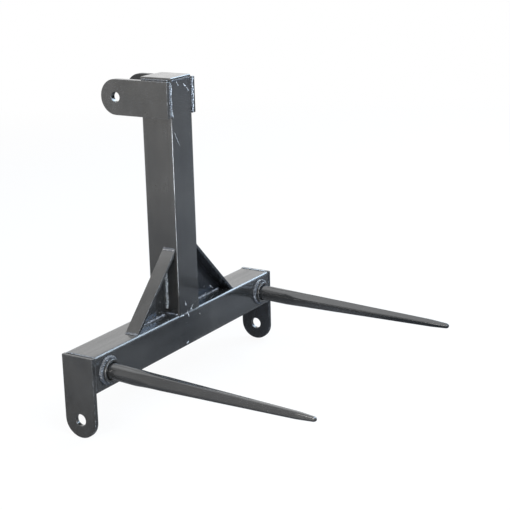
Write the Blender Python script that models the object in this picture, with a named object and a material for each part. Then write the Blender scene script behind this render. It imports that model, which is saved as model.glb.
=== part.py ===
"""Bale spear for a tractor's three-point hitch: a welded beam and mast that carry two forged spears.

+X runs along the crossbeam, +Y points to the tractor and +Z is up. The spears point to -Y.
The origin is the middle of the axis that the two lower hitch holes share. Lengths are in metres.
"""

from math import acos, cos, hypot, pi, sin

import bmesh
import bpy
from mathutils import Vector

# Fits between separate pieces
SEAT_GAP = 0.0003  # what is welded or bolted together, kept apart by this much
CUT_OVERRUN = 0.004  # how far each cutter runs past the faces that it cuts
EDGE_BREAK = 0.0008  # small chamfer on cut plate edges

# Crossbeam: square tube between the two lower ears
HITCH_SPREAD = 0.683  # over the outer faces of the lower ears
BEAM_SIDE = 0.0762
BEAM_WALL = 0.003175
BEAM_CORNER = 0.0040  # outer radius of the rolled corners

# Lower ears: one round-ended plate on each end of the beam
LOWER_EAR_THICKNESS = 0.009525
LOWER_EAR_WIDTH = 0.0762
LOWER_EAR_DROP = 0.1355  # from the beam's top to the lower hitch holes
LOWER_PIN_HOLE = 0.0254

# Mast: square tube that stands on the beam, closed by a plate
MAST_SIDE = 0.0762
MAST_WALL = 0.003175
MAST_CORNER = 0.0040
MAST_HEIGHT = 0.5055
CAP_THICKNESS = 0.00635
CAP_CORNER = 0.0040
CAP_ROUND = 0.0022  # ground radius along the cap's upper edge

# Top-link ears: a pair of round-ended plates flush with the mast's front and top
TOP_EAR_THICKNESS = 0.0127
TOP_EAR_WIDTH = 0.0762
TOP_EAR_REACH = 0.09525  # from the mast's axis back to the top-link hole
TOP_PIN_HOLE = 0.0215

# Gussets: a triangular web with a flat bar along its sloping edge
GUSSET_LEG = 0.1458  # from the mast's side to the outer face of the bar, also up the mast
STRIP_THICKNESS = 0.00635
STRIP_WIDTH = 0.03175
STRIP_BACK = 0.0010  # the bar's rear edge in front of the mast's middle plane
WEB_THICKNESS = 0.0047625
WEB_SNIP = 0.010  # corner cut off, clear of the weld at the mast's foot

# Spear sleeves: turned sleeves welded through the beam, with a tapered bore
SPEAR_INSET = 0.0505  # from the outer face of the lower ear to the spear's axis
SLEEVE_DIAMETER = 0.0485
SLEEVE_PROUD = 0.0115  # in front of the beam
SLEEVE_BACK = 0.0055  # behind the beam
SLEEVE_RIM_ROUND = 0.0012
SLEEVE_MOUTH_BEVEL = 0.0022

# Spears: round at the base, then square with rounded corners, to a blunt tip
SPEAR_DIAMETER = 0.0342
SPEAR_REACH = 0.481  # from the beam's front face to the tip
SPEAR_ROUND_LENGTH = 0.0605  # round stretch in front of the sleeve
SPEAR_FORGED_START = 0.137  # from the beam's front face to where the section is fully square
SPEAR_FORGED_WIDTH = 0.0257  # across flats there
SPEAR_POINT_LENGTH = 0.041  # last stretch, which tapers faster
SPEAR_POINT_WIDTH = 0.0134  # across flats where that stretch starts
SPEAR_TIP_WIDTH = 0.0096
SPEAR_NOSE_LENGTH = 0.0065  # rounded end
SPEAR_TIP_DROP = 0.0080  # how far the tip lies below the sleeve's axis
SPEAR_TIP_SPLAY = 0.0070  # how far it lies outside that axis
SHANK_END_DIAMETER = 0.0262  # small end of the tapered shank
SHANK_PULL = 0.0025  # the shank stops this short of the sleeve's end, so that the nut draws it tight
STUD_DIAMETER = 0.022
STUD_PAST_NUT = 0.004
STUD_POINT_BEVEL = 0.002
ROLL_LEFT_DEGREES = 4.0  # how each spear is turned about its own axis
ROLL_RIGHT_DEGREES = 33.0

# Nut and washer on each spear's stud
WASHER_DIAMETER = 0.039
WASHER_THICKNESS = 0.003
NUT_ACROSS_FLATS = 0.032
NUT_HEIGHT = 0.018
NUT_BEVEL = 0.0022
STUD_CLEARANCE = 0.0004

# Weld beads: leg lengths, and the spacing of the ripples along each bead
SLEEVE_BEAD = 0.0068
SLEEVE_REAR_BEAD = 0.0048
WEB_BEAD = 0.0052
STRIP_BEAD = 0.0046
FOOT_BEAD = 0.0042
CAP_BEAD = 0.0036
GROOVE_BEAD_LAP = 0.0058  # how far the bead beside the mast laps over the ear's front edge
GROOVE_BEAD_CROWN = 0.0026
SEAM_BEAD_WIDTH = 0.0085
SEAM_BEAD_CROWN = 0.0008
CAP_SEAM_WIDTH = 0.0056
CAP_SEAM_CROWN = 0.0012
RIPPLE_PITCH = 0.0075
SNIP_BEAD_MARGIN = 0.002  # how far a bead stops short of the end of its seam

# Shares of the sizes above, and counts of steps
BEAD_BULGE_SHARE = 0.16  # how far a bead swells past the straight line between its toes
BEAD_RIPPLE_SHARE = 0.13
BEAD_END_SHARE = 0.55
MERGE_SHARE = 0.1  # of the seat gap: points nearer to each other than this are one
FORGED_SQUARENESS = 5.0  # exponent of the forged section's curve, where 2 is round
ROUND_SQUARENESS = 2.0
CORNER_STEPS = 5
NUT_SIDES = 6
EAR_END_STEPS = 24
HOLE_STEPS = 32
TURNED_STEPS = 40
SPEAR_STEPS = 36
FORMING_STEPS = 6
TIP_STEPS = 5
BEAD_FACE_STEPS = 3
STEPS_PER_RIPPLE = 3
BREAK_STEPS = 1
SMOOTH_ANGLE_DEGREES = 32.0

# Places worked out from the sizes
BEAM_TOP = LOWER_EAR_DROP
BEAM_MIDDLE = BEAM_TOP - BEAM_SIDE / 2
EAR_INNER_X = HITCH_SPREAD / 2 - LOWER_EAR_THICKNESS
SPEAR_X = HITCH_SPREAD / 2 - SPEAR_INSET
MAST_TOP = BEAM_TOP + MAST_HEIGHT
TOP_EAR_MIDDLE = MAST_TOP - TOP_EAR_WIDTH / 2
SLEEVE_FRONT_Y = -BEAM_SIDE / 2 - SLEEVE_PROUD
SLEEVE_REAR_Y = BEAM_SIDE / 2 + SLEEVE_BACK
WEB_REAR_Y = -STRIP_BACK
WEB_FRONT_Y = WEB_REAR_Y - WEB_THICKNESS
SPEAR_TIP_Y = -BEAM_SIDE / 2 - SPEAR_REACH
SHANK_END_Y = SLEEVE_REAR_Y - SHANK_PULL
WASHER_FRONT_Y = SLEEVE_REAR_Y + SEAT_GAP
NUT_FRONT_Y = WASHER_FRONT_Y + WASHER_THICKNESS + SEAT_GAP
NUT_REAR_Y = NUT_FRONT_Y + NUT_HEIGHT
BAR_SLOPE = hypot(1, 1)  # length along the gusset's slope for each unit across
SIDES = ((-1, "left"), (1, "right"))

PAINT = ((0.020, 0.021, 0.023), 0.22, 0.0)
WELD_PAINT = ((0.024, 0.025, 0.028), 0.28, 0.0)
ZINC = ((0.60, 0.60, 0.57), 0.38, 1.0)


def clear_scene():
    for old in list(bpy.data.objects):
        bpy.data.objects.remove(old, do_unlink=True)


def make_material(name, look):
    colour, roughness, metallic = look
    material = bpy.data.materials.new(name)
    material.use_nodes = True
    shader = material.node_tree.nodes["Principled BSDF"]
    shader.inputs["Base Color"].default_value = (*colour, 1.0)
    shader.inputs["Roughness"].default_value = roughness
    shader.inputs["Metallic"].default_value = metallic
    return material


def add_object(name, bm, look, place=(0, 0, 0)):
    """Turns a bmesh into a named object whose origin is at place."""
    bmesh.ops.remove_doubles(bm, verts=bm.verts, dist=SEAT_GAP * MERGE_SHARE)
    bmesh.ops.recalc_face_normals(bm, faces=bm.faces)
    bmesh.ops.translate(bm, verts=bm.verts, vec=-Vector(place))
    mesh = bpy.data.meshes.new(name)
    bm.to_mesh(mesh)
    bm.free()
    mesh.shade_smooth()
    mesh.set_sharp_from_angle(angle=SMOOTH_ANGLE_DEGREES * pi / 180)
    mesh.materials.append(make_material(name + "_finish", look))
    item = bpy.data.objects.new(name, mesh)
    bpy.context.scene.collection.objects.link(item)
    item.location = place
    item.parent = FRAME
    return item


def add_cutter(name, bm, place=(0, 0, 0)):
    cutter = add_object(name, bm, PAINT, place)
    cutter.hide_render = True
    cutter.display_type = "WIRE"
    return cutter


def cut(item, cutter, operation="DIFFERENCE"):
    modifier = item.modifiers.new("cut_" + cutter.name, "BOOLEAN")
    modifier.operation = operation
    modifier.object = cutter
    modifier.solver = "EXACT"


def break_edges(item, width=EDGE_BREAK):
    modifier = item.modifiers.new("edge_break", "BEVEL")
    modifier.width = width
    modifier.segments = BREAK_STEPS
    modifier.limit_method = "ANGLE"
    modifier.angle_limit = SMOOTH_ANGLE_DEGREES * pi / 180


def arc(centre, radius, start, end, steps):
    """Points of an arc about centre from one angle to another, both ends included."""
    turn = (end - start) / steps
    return [
        (centre[0] + radius * cos(start + turn * i), centre[1] + radius * sin(start + turn * i))
        for i in range(steps + 1)
    ]


def rounded_square(side, radius):
    flat = side / 2 - radius
    points = []
    for quarter in range(4):
        start = quarter * pi / 2
        x = flat if quarter in (0, 3) else -flat
        y = flat if quarter in (0, 1) else -flat
        points += arc((x, y), radius, start, start + pi / 2, CORNER_STEPS)
    return points


def loft(rings, closed=False):
    """Skins a row of rings of equal count, and caps the two ends unless the row is closed."""
    bm = bmesh.new()
    rows = [[bm.verts.new(point) for point in ring] for ring in rings]
    count = len(rows[0])
    pairs = list(zip(rows, rows[1:] + rows[:1])) if closed else list(zip(rows, rows[1:]))
    for near, far in pairs:
        for i in range(count):
            j = (i + 1) % count
            bm.faces.new((near[i], near[j], far[j], far[i]))
    if not closed:
        bm.faces.new(rows[0])
        bm.faces.new(rows[-1])
    return bm


def extrude_outline(outline, to_world, depth):
    """Extrudes a flat outline: to_world turns (u, v, w) into a point, and w runs from 0 to depth."""
    bm = bmesh.new()
    face = bm.faces.new([bm.verts.new(to_world(u, v, 0)) for u, v in outline])
    grown = bmesh.ops.extrude_face_region(bm, geom=[face])
    moved = [part for part in grown["geom"] if isinstance(part, bmesh.types.BMVert)]
    shift = Vector(to_world(0, 0, depth)) - Vector(to_world(0, 0, 0))
    bmesh.ops.translate(bm, verts=moved, vec=shift)
    return bm


def square_tube(side, wall, corner, length, to_world):
    """Square tube with rolled corners: to_world turns (u, v, w) into a point, w along the tube."""
    outer = rounded_square(side, corner)
    inner = rounded_square(side - 2 * wall, corner - wall)
    rings = [
        [to_world(u, v, 0) for u, v in outer],
        [to_world(u, v, length) for u, v in outer],
        [to_world(u, v, length) for u, v in inner],
        [to_world(u, v, 0) for u, v in inner],
    ]
    return loft(rings, closed=True)


def turned(profile, x, z, steps=TURNED_STEPS):
    """Spins a closed profile of (radius, y) points about the line through (x, z) along Y."""
    bm = bmesh.new()
    corners = [bm.verts.new((x + radius, y, z)) for radius, y in profile]
    edges = [bm.edges.new(pair) for pair in zip(corners, corners[1:] + corners[:1])]
    bmesh.ops.spin(
        bm, geom=edges, cent=(x, 0, z), axis=(0, 1, 0), angle=2 * pi, steps=steps, use_merge=True
    )
    return bm


def cylinder_along_x(name, radius, start, end, y, z):
    circle = arc((y, z), radius, 0, 2 * pi, HOLE_STEPS)[:-1]
    return add_cutter(name, loft([[(x, v, w) for v, w in circle] for x in (start, end)]))


def cylinder_along_y(name, radius, start, end, x, z):
    circle = arc((x, z), radius, 0, 2 * pi, HOLE_STEPS)[:-1]
    return add_cutter(name, loft([[(u, y, w) for u, w in circle] for y in (start, end)]))


def bead_section(leg, scale):
    """Closed outline of a fillet bead in its corner: flat on both plates, with a swollen face."""
    reach = SEAT_GAP + leg * scale
    points = [(SEAT_GAP, SEAT_GAP), (reach, SEAT_GAP)]
    for i in range(1, BEAD_FACE_STEPS):
        share = i / BEAD_FACE_STEPS
        swell = BEAD_BULGE_SHARE * leg * scale * sin(pi * share)
        points.append((
            SEAT_GAP + leg * scale * (1 - share) + swell,
            SEAT_GAP + leg * scale * share + swell,
        ))
    points.append((SEAT_GAP, reach))
    return points


def ripple(i):
    """Swell of a bead at step i, which rises and falls once in each ripple."""
    return 1 - BEAD_RIPPLE_SHARE * (i % STEPS_PER_RIPPLE) / (STEPS_PER_RIPPLE - 1)


def bead_stations(start, end):
    """Places along a bead from start to end, each with the bead's size there as a share."""
    start, end = Vector(start), Vector(end)
    steps = STEPS_PER_RIPPLE * max(1, round((end - start).length / RIPPLE_PITCH))
    scales = [BEAD_END_SHARE, *[ripple(i) for i in range(1, steps)], BEAD_END_SHARE]
    return [(start.lerp(end, i / steps), scale) for i, scale in enumerate(scales)]


def straight_bead(name, start, end, first, second, leg):
    """Fillet bead from start to end in the square corner between two faces, along unit vectors."""
    first, second = Vector(first), Vector(second)
    rings = [
        [place + first * u + second * v for u, v in bead_section(leg, scale)]
        for place, scale in bead_stations(start, end)
    ]
    return add_object(name, loft(rings), WELD_PAINT, start)


def corner_fill(radius):
    """Outline that fills the corner outside a tube's rounded corner, from the tube's own corner at
    (0, 0): it clears the tube by the seat gap, and its two ends lie on the two faces' planes."""
    reach = radius + SEAT_GAP
    start = acos(radius / reach)
    return arc((-radius, -radius), reach, start, pi / 2 - start, CORNER_STEPS)


def ring_bead(name, x, y, z, radius, leg, outward):
    """Fillet bead round a sleeve of this radius, on the beam face at y that looks along outward."""
    steps = STEPS_PER_RIPPLE * round(2 * pi * radius / RIPPLE_PITCH)
    rings = []
    for i in range(steps):
        angle = 2 * pi * i / steps
        rings.append([
            (x + (radius + u) * cos(angle), y + outward * v, z + (radius + u) * sin(angle))
            for u, v in bead_section(leg, ripple(i))
        ])
    return add_object(name, loft(rings, closed=True), WELD_PAINT, (x, y, z))


def round_ended_plate(width, length):
    """Outline of an ear: square end at u = 0, round end about (length, 0)."""
    half = width / 2
    return [(0, -half), *arc((length, 0), half, -pi / 2, pi / 2, EAR_END_STEPS), (0, half)]


def make_crossbeam():
    start = -EAR_INNER_X + SEAT_GAP
    length = 2 * (EAR_INNER_X - SEAT_GAP)
    tube = square_tube(
        BEAM_SIDE, BEAM_WALL, BEAM_CORNER, length, lambda u, v, w: (start + w, u, BEAM_MIDDLE + v)
    )
    beam = add_object("crossbeam", tube, PAINT, (0, 0, BEAM_MIDDLE))
    reach = BEAM_SIDE / 2 + CUT_OVERRUN
    for side, word in SIDES:
        cutter = cylinder_along_y(
            "sleeve_hole_" + word,
            SLEEVE_DIAMETER / 2 + SEAT_GAP,
            -reach,
            reach,
            side * SPEAR_X,
            BEAM_MIDDLE,
        )
        cut(beam, cutter)


def make_mast():
    foot = BEAM_TOP + SEAT_GAP
    tube = square_tube(
        MAST_SIDE, MAST_WALL, MAST_CORNER, MAST_TOP - foot, lambda u, v, w: (u, v, foot + w)
    )
    add_object("mast", tube, PAINT, (0, 0, foot))


def make_mast_cap():
    bottom = MAST_TOP + SEAT_GAP
    outline = rounded_square(MAST_SIDE, CAP_CORNER)
    inset = rounded_square(MAST_SIDE - 2 * CAP_ROUND, CAP_CORNER - CAP_ROUND)
    upper = bottom + CAP_THICKNESS
    rings = [
        [(u, v, bottom) for u, v in outline],
        [(u, v, upper - CAP_ROUND) for u, v in outline],
        *[ground_ring(outline, inset, upper, i / CORNER_STEPS) for i in range(1, CORNER_STEPS)],
        [(u, v, upper) for u, v in inset],
    ]
    add_object("mast_cap", loft(rings), PAINT, (0, 0, bottom))


def ground_ring(outline, inset, upper, share):
    """Ring of the cap's rounded upper edge, a share of the way from its side to its top."""
    inward = 1 - cos(share * pi / 2)
    height = upper - CAP_ROUND + CAP_ROUND * sin(share * pi / 2)
    return [
        (a[0] + (b[0] - a[0]) * inward, a[1] + (b[1] - a[1]) * inward, height)
        for a, b in zip(outline, inset)
    ]


def make_lower_ear(side, word):
    outline = round_ended_plate(LOWER_EAR_WIDTH, LOWER_EAR_DROP)
    plate = extrude_outline(
        outline,
        lambda u, v, w: (side * (EAR_INNER_X + w), v, BEAM_TOP - u),
        LOWER_EAR_THICKNESS,
    )
    ear = add_object("lower_ear_" + word, plate, PAINT, (side * EAR_INNER_X, 0, 0))
    outer = EAR_INNER_X + LOWER_EAR_THICKNESS + CUT_OVERRUN
    cutter = cylinder_along_x(
        "lower_pin_hole_" + word,
        LOWER_PIN_HOLE / 2,
        side * (EAR_INNER_X - CUT_OVERRUN),
        side * outer,
        0,
        0,
    )
    cut(ear, cutter)
    break_edges(ear)


def make_top_link_ear(side, word):
    front = -MAST_SIDE / 2
    outline = round_ended_plate(TOP_EAR_WIDTH, TOP_EAR_REACH - front)
    inner = MAST_SIDE / 2 + SEAT_GAP
    plate = extrude_outline(
        outline,
        lambda u, v, w: (side * (inner + w), front + u, TOP_EAR_MIDDLE + v),
        TOP_EAR_THICKNESS,
    )
    place = (side * inner, TOP_EAR_REACH, TOP_EAR_MIDDLE)
    ear = add_object("top_link_ear_" + word, plate, PAINT, place)
    cutter = cylinder_along_x(
        "top_pin_hole_" + word,
        TOP_PIN_HOLE / 2,
        side * (inner - CUT_OVERRUN),
        side * (inner + TOP_EAR_THICKNESS + CUT_OVERRUN),
        TOP_EAR_REACH,
        TOP_EAR_MIDDLE,
    )
    cut(ear, cutter)
    break_edges(ear)


def make_gusset_web(side, word):
    near = MAST_SIDE / 2 + SEAT_GAP
    low = BEAM_TOP + SEAT_GAP
    slope = MAST_SIDE / 2 + GUSSET_LEG + BEAM_TOP - (STRIP_THICKNESS + SEAT_GAP) * BAR_SLOPE
    outline = [
        (near + WEB_SNIP, low),
        (slope - low, low),
        (near, slope - near),
        (near, low + WEB_SNIP),
    ]
    plate = extrude_outline(
        outline, lambda u, v, w: (side * u, WEB_FRONT_Y + w, v), WEB_THICKNESS
    )
    web = add_object("gusset_web_" + word, plate, PAINT, (side * near, WEB_REAR_Y, low))
    break_edges(web, EDGE_BREAK / 2)


def make_gusset_strip(side, word):
    near = MAST_SIDE / 2 + SEAT_GAP
    low = BEAM_TOP + SEAT_GAP
    outer = MAST_SIDE / 2 + GUSSET_LEG + BEAM_TOP
    inner = outer - STRIP_THICKNESS * BAR_SLOPE
    outline = [
        (inner - low, low),
        (outer - low, low),
        (near, outer - near),
        (near, inner - near),
    ]
    front = WEB_REAR_Y - STRIP_WIDTH
    bar = extrude_outline(outline, lambda u, v, w: (side * u, front + w, v), STRIP_WIDTH)
    strip = add_object("gusset_strip_" + word, bar, PAINT, (side * near, WEB_REAR_Y, outer - near))
    break_edges(strip, EDGE_BREAK / 2)


def make_spear_sleeve(side, word):
    outer = SLEEVE_DIAMETER / 2
    mouth = shank_radius(SLEEVE_FRONT_Y) + SEAT_GAP
    tail = shank_radius(SLEEVE_REAR_Y) + SEAT_GAP
    rim = arc(
        (outer - SLEEVE_RIM_ROUND, SLEEVE_FRONT_Y + SLEEVE_RIM_ROUND),
        SLEEVE_RIM_ROUND,
        -pi / 2,
        0,
        CORNER_STEPS - 1,
    )
    bore_start = SLEEVE_FRONT_Y + SLEEVE_MOUTH_BEVEL
    profile = [
        (mouth + SLEEVE_MOUTH_BEVEL, SLEEVE_FRONT_Y),
        *rim,
        (outer, SLEEVE_REAR_Y - EDGE_BREAK),
        (outer - EDGE_BREAK, SLEEVE_REAR_Y),
        (tail, SLEEVE_REAR_Y),
        (shank_radius(bore_start) + SEAT_GAP, bore_start),
    ]
    x = side * SPEAR_X
    place = (x, -BEAM_SIDE / 2, BEAM_MIDDLE)
    add_object("spear_sleeve_" + word, turned(profile, x, BEAM_MIDDLE), PAINT, place)


def shank_radius(y):
    """Radius of the tapered shank at y, from the sleeve's mouth to its rear face."""
    share = (y - SLEEVE_FRONT_Y) / (SLEEVE_REAR_Y - SLEEVE_FRONT_Y)
    return (SPEAR_DIAMETER + (SHANK_END_DIAMETER - SPEAR_DIAMETER) * share) / 2


def blunt_radius(angle, squareness):
    """Distance from the axis to a unit section's edge: 2 is a circle, higher is squarer."""
    power = abs(cos(angle)) ** squareness + abs(sin(angle)) ** squareness
    return power ** (-1 / squareness)


def spear_axis(side, y):
    """Centre (x, z) of a spear's section: in front of the sleeve it leans out and down a little."""
    share = max(0, SLEEVE_FRONT_Y - y) / (SLEEVE_FRONT_Y - SPEAR_TIP_Y)
    return side * (SPEAR_X + SPEAR_TIP_SPLAY * share), BEAM_MIDDLE - SPEAR_TIP_DROP * share


def spear_ring(side, y, half_width, squareness, roll):
    x, z = spear_axis(side, y)
    ring = []
    for i in range(SPEAR_STEPS):
        angle = 2 * pi * i / SPEAR_STEPS
        reach = half_width * blunt_radius(angle, squareness)
        ring.append((x + reach * cos(angle + roll), y, z + reach * sin(angle + roll)))
    return ring


def ease(share):
    return share * share * (3 - 2 * share)


def spear_stations():
    """Rows of (y, half width, squareness) from the stud's end to the tip."""
    stud = STUD_DIAMETER / 2
    stud_end = NUT_REAR_Y + STUD_PAST_NUT
    rows = [
        (stud_end, stud - STUD_POINT_BEVEL, ROUND_SQUARENESS),
        (stud_end - STUD_POINT_BEVEL, stud, ROUND_SQUARENESS),
        (SHANK_END_Y, stud, ROUND_SQUARENESS),
        (SHANK_END_Y, shank_radius(SHANK_END_Y), ROUND_SQUARENESS),
        (SLEEVE_FRONT_Y, SPEAR_DIAMETER / 2, ROUND_SQUARENESS),
    ]
    round_end = SLEEVE_FRONT_Y - SPEAR_ROUND_LENGTH
    square_start = -BEAM_SIDE / 2 - SPEAR_FORGED_START
    nose_start = SPEAR_TIP_Y + SPEAR_NOSE_LENGTH
    rows.append((round_end, SPEAR_DIAMETER / 2, ROUND_SQUARENESS))
    for i in range(1, FORMING_STEPS + 1):
        share = i / FORMING_STEPS
        squareness = ROUND_SQUARENESS + (FORGED_SQUARENESS - ROUND_SQUARENESS) * ease(share)
        width = SPEAR_DIAMETER + (SPEAR_FORGED_WIDTH - SPEAR_DIAMETER) * ease(share)
        rows.append((round_end + (square_start - round_end) * share, width / 2, squareness))
    rows += [
        (SPEAR_TIP_Y + SPEAR_POINT_LENGTH, SPEAR_POINT_WIDTH / 2, FORGED_SQUARENESS),
        (nose_start, SPEAR_TIP_WIDTH / 2, FORGED_SQUARENESS),
    ]
    for i in range(1, TIP_STEPS):
        turn = i / TIP_STEPS * pi / 2
        squareness = FORGED_SQUARENESS + (ROUND_SQUARENESS - FORGED_SQUARENESS) * sin(turn)
        half = SPEAR_TIP_WIDTH / 2 * cos(turn)
        rows.append((nose_start - SPEAR_NOSE_LENGTH * sin(turn), half, squareness))
    return rows


def make_spear(side, word, roll_degrees):
    roll = roll_degrees * pi / 180
    rings = [spear_ring(side, y, half, squareness, roll) for y, half, squareness in spear_stations()]
    add_object("spear_" + word, loft(rings), PAINT, (side * SPEAR_X, 0, BEAM_MIDDLE))


def make_spear_washer(side, word):
    inner = STUD_DIAMETER / 2 + STUD_CLEARANCE
    outer = WASHER_DIAMETER / 2
    front = WASHER_FRONT_Y
    rear = front + WASHER_THICKNESS
    profile = [
        (inner, front),
        (outer, front),
        (outer, rear - EDGE_BREAK),
        (outer - EDGE_BREAK, rear),
        (inner, rear),
    ]
    x = side * SPEAR_X
    washer = turned(profile, x, BEAM_MIDDLE, HOLE_STEPS)
    add_object("spear_washer_" + word, washer, ZINC, (x, front, BEAM_MIDDLE))


def make_spear_nut(side, word):
    """Hexagon nut: a prism with its corners turned off by a cone at each face, then bored."""
    x = side * SPEAR_X
    corner = NUT_ACROSS_FLATS / 2 / cos(pi / NUT_SIDES)
    hexagon = arc((x, BEAM_MIDDLE), corner, 0, 2 * pi, NUT_SIDES)[:-1]
    prism = loft([[(u, y, v) for u, v in hexagon] for y in (NUT_FRONT_Y, NUT_REAR_Y)])
    nut = add_object("spear_nut_" + word, prism, ZINC, (x, NUT_FRONT_Y, BEAM_MIDDLE))
    waist = corner + SEAT_GAP
    rise = (waist - corner + NUT_BEVEL) / 2
    end = waist - 2 * (rise + SEAT_GAP)
    barrel = [
        (end, NUT_FRONT_Y - SEAT_GAP),
        (waist, NUT_FRONT_Y + rise),
        (waist, NUT_REAR_Y - rise),
        (end, NUT_REAR_Y + SEAT_GAP),
    ]
    rings = []
    for radius, y in barrel:
        circle = arc((x, BEAM_MIDDLE), radius, 0, 2 * pi, HOLE_STEPS)[:-1]
        rings.append([(u, y, v) for u, v in circle])
    cut(nut, add_cutter("nut_barrel_" + word, loft(rings)), "INTERSECT")
    bore = cylinder_along_y(
        "nut_bore_" + word,
        STUD_DIAMETER / 2 + STUD_CLEARANCE,
        NUT_FRONT_Y - CUT_OVERRUN,
        NUT_REAR_Y + CUT_OVERRUN,
        x,
        BEAM_MIDDLE,
    )
    cut(nut, bore)


def make_sleeve_beads(side, word):
    x = side * SPEAR_X
    radius = SLEEVE_DIAMETER / 2
    face = BEAM_SIDE / 2
    ring_bead("sleeve_weld_front_" + word, x, -face, BEAM_MIDDLE, radius, SLEEVE_BEAD, -1)
    ring_bead("sleeve_weld_rear_" + word, x, face, BEAM_MIDDLE, radius, SLEEVE_REAR_BEAD, 1)


def make_web_beads(side, word):
    x = side * MAST_SIDE / 2
    slope = GUSSET_LEG - (STRIP_THICKNESS + SEAT_GAP) * BAR_SLOPE
    near = WEB_SNIP + SNIP_BEAD_MARGIN
    far = slope - 2 * WEB_BEAD - SNIP_BEAD_MARGIN
    front = (0, -1, 0)
    straight_bead(
        "web_mast_weld_" + word,
        (x, WEB_FRONT_Y, BEAM_TOP + near),
        (x, WEB_FRONT_Y, BEAM_TOP + far),
        (side, 0, 0),
        front,
        WEB_BEAD,
    )
    straight_bead(
        "web_beam_weld_" + word,
        (x + side * near, WEB_FRONT_Y, BEAM_TOP),
        (x + side * far, WEB_FRONT_Y, BEAM_TOP),
        (0, 0, 1),
        front,
        WEB_BEAD,
    )


def make_strip_beads(side, word):
    """Beads across the outer face of each bar, where it meets the mast and the beam."""
    front = WEB_REAR_Y - STRIP_WIDTH
    x = side * MAST_SIDE / 2
    top = BEAM_TOP + GUSSET_LEG
    foot = x + side * GUSSET_LEG
    down_bar = Vector((side, 0, -1)).normalized()
    sloped_bead(
        "strip_mast_weld_" + word, (x, front, top), (x, WEB_REAR_Y, top), Vector((0, 0, 1)), down_bar
    )
    sloped_bead(
        "strip_beam_weld_" + word,
        (foot, front, BEAM_TOP),
        (foot, WEB_REAR_Y, BEAM_TOP),
        Vector((side, 0, 0)),
        -down_bar,
    )


def sloped_bead(name, start, end, wall, bar):
    """Bead in the open corner of 135 degrees between a wall and the bar that leans on it."""
    outward = (wall + bar).normalized()
    lift = outward * SEAT_GAP / sin(3 * pi / 8)
    rings = []
    for place, scale in bead_stations(start, end):
        corner = place + lift
        leg = STRIP_BEAD * scale
        crown = corner + (wall + bar) * leg / 2 + outward * leg * BEAD_BULGE_SHARE
        rings.append([corner, corner + wall * leg, crown, corner + bar * leg])
    return add_object(name, loft(rings), WELD_PAINT, start)


def make_foot_beads():
    """Weld round the mast's foot: ground flush in front and behind, a small fillet on each side."""
    half = MAST_SIDE / 2
    run = MAST_SIDE - MAST_CORNER
    outline = [*corner_fill(BEAM_CORNER), (0, 0)]
    for direction, word in ((-1, "front"), (1, "rear")):
        face = direction * BEAM_SIDE / 2
        fill = extrude_outline(
            outline, lambda u, v, w: (w - run / 2, face + direction * u, BEAM_TOP + v), run
        )
        add_object("mast_foot_weld_" + word, fill, WELD_PAINT, (0, face, BEAM_TOP))
    flat = BEAM_SIDE / 2 - BEAM_CORNER
    for side, word in SIDES:
        straight_bead(
            "mast_foot_weld_" + word,
            (side * half, -flat, BEAM_TOP),
            (side * half, flat, BEAM_TOP),
            (side, 0, 0),
            (0, 0, 1),
            FOOT_BEAD,
        )


def groove_section(scale):
    """Bead that fills the groove beside the mast's rounded corner and laps over the ear's edge.

    The outline is seen from above: (0, 0) is where the mast's side and front would meet.
    """
    groove = corner_fill(MAST_CORNER)
    toe = groove[-1]
    lap = (SEAT_GAP + GROOVE_BEAD_LAP * scale, SEAT_GAP)
    crown = []
    for i in range(1, BEAD_FACE_STEPS):
        share = i / BEAD_FACE_STEPS
        u = toe[0] + (lap[0] - toe[0]) * share
        v = toe[1] + (lap[1] - toe[1]) * share + GROOVE_BEAD_CROWN * scale * sin(pi * share)
        crown.append((u, v))
    return [*groove, *crown, lap, (0, SEAT_GAP)]


def make_top_beads(side, word):
    half = MAST_SIDE / 2
    start = (side * half, -half, MAST_TOP - TOP_EAR_WIDTH + SNIP_BEAD_MARGIN)
    end = (side * half, -half, MAST_TOP - SNIP_BEAD_MARGIN)
    outward, forward = Vector((side, 0, 0)), Vector((0, -1, 0))
    rings = [
        [place + outward * u + forward * v for u, v in groove_section(scale)]
        for place, scale in bead_stations(start, end)
    ]
    add_object("top_link_ear_weld_" + word, loft(rings), WELD_PAINT, start)
    flat = half - MAST_CORNER
    straight_bead(
        "mast_cap_weld_" + word,
        (side * half, -flat, MAST_TOP),
        (side * half, flat, MAST_TOP),
        (side, 0, 0),
        (0, 0, 1),
        CAP_BEAD,
    )


def seam_bead(name, start, end, across, outward, width, crown):
    """Flat bead over the seam between two flush faces that look along outward."""
    across, outward = Vector(across), Vector(outward)
    rings = []
    for place, scale in bead_stations(start, end):
        half, height = width / 2 * scale, crown * scale
        rings.append([
            place + across * half * u + outward * (SEAT_GAP + height * v)
            for u, v in arc((0, 0), 1, 0, pi, BEAD_FACE_STEPS)
        ])
    add_object(name, loft(rings), WELD_PAINT, start)


def make_ear_seam(side, word):
    """Bead over the seam between the beam's top and the lower ear's upper edge."""
    flat = BEAM_SIDE / 2 - BEAM_CORNER
    x = side * EAR_INNER_X
    start, end = (x, -flat, BEAM_TOP), (x, flat, BEAM_TOP)
    name = "lower_ear_weld_" + word
    seam_bead(name, start, end, (1, 0, 0), (0, 0, 1), SEAM_BEAD_WIDTH, SEAM_BEAD_CROWN)


def make_cap_seams():
    """Beads over the seams between the cap's edge and the mast, in front and behind."""
    flat = MAST_SIDE / 2 - MAST_CORNER
    for direction, word in ((-1, "front"), (1, "rear")):
        y = direction * MAST_SIDE / 2
        start, end = (-flat, y, MAST_TOP), (flat, y, MAST_TOP)
        name = "mast_cap_weld_" + word
        seam_bead(name, start, end, (0, 0, 1), (0, direction, 0), CAP_SEAM_WIDTH, CAP_SEAM_CROWN)


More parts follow.
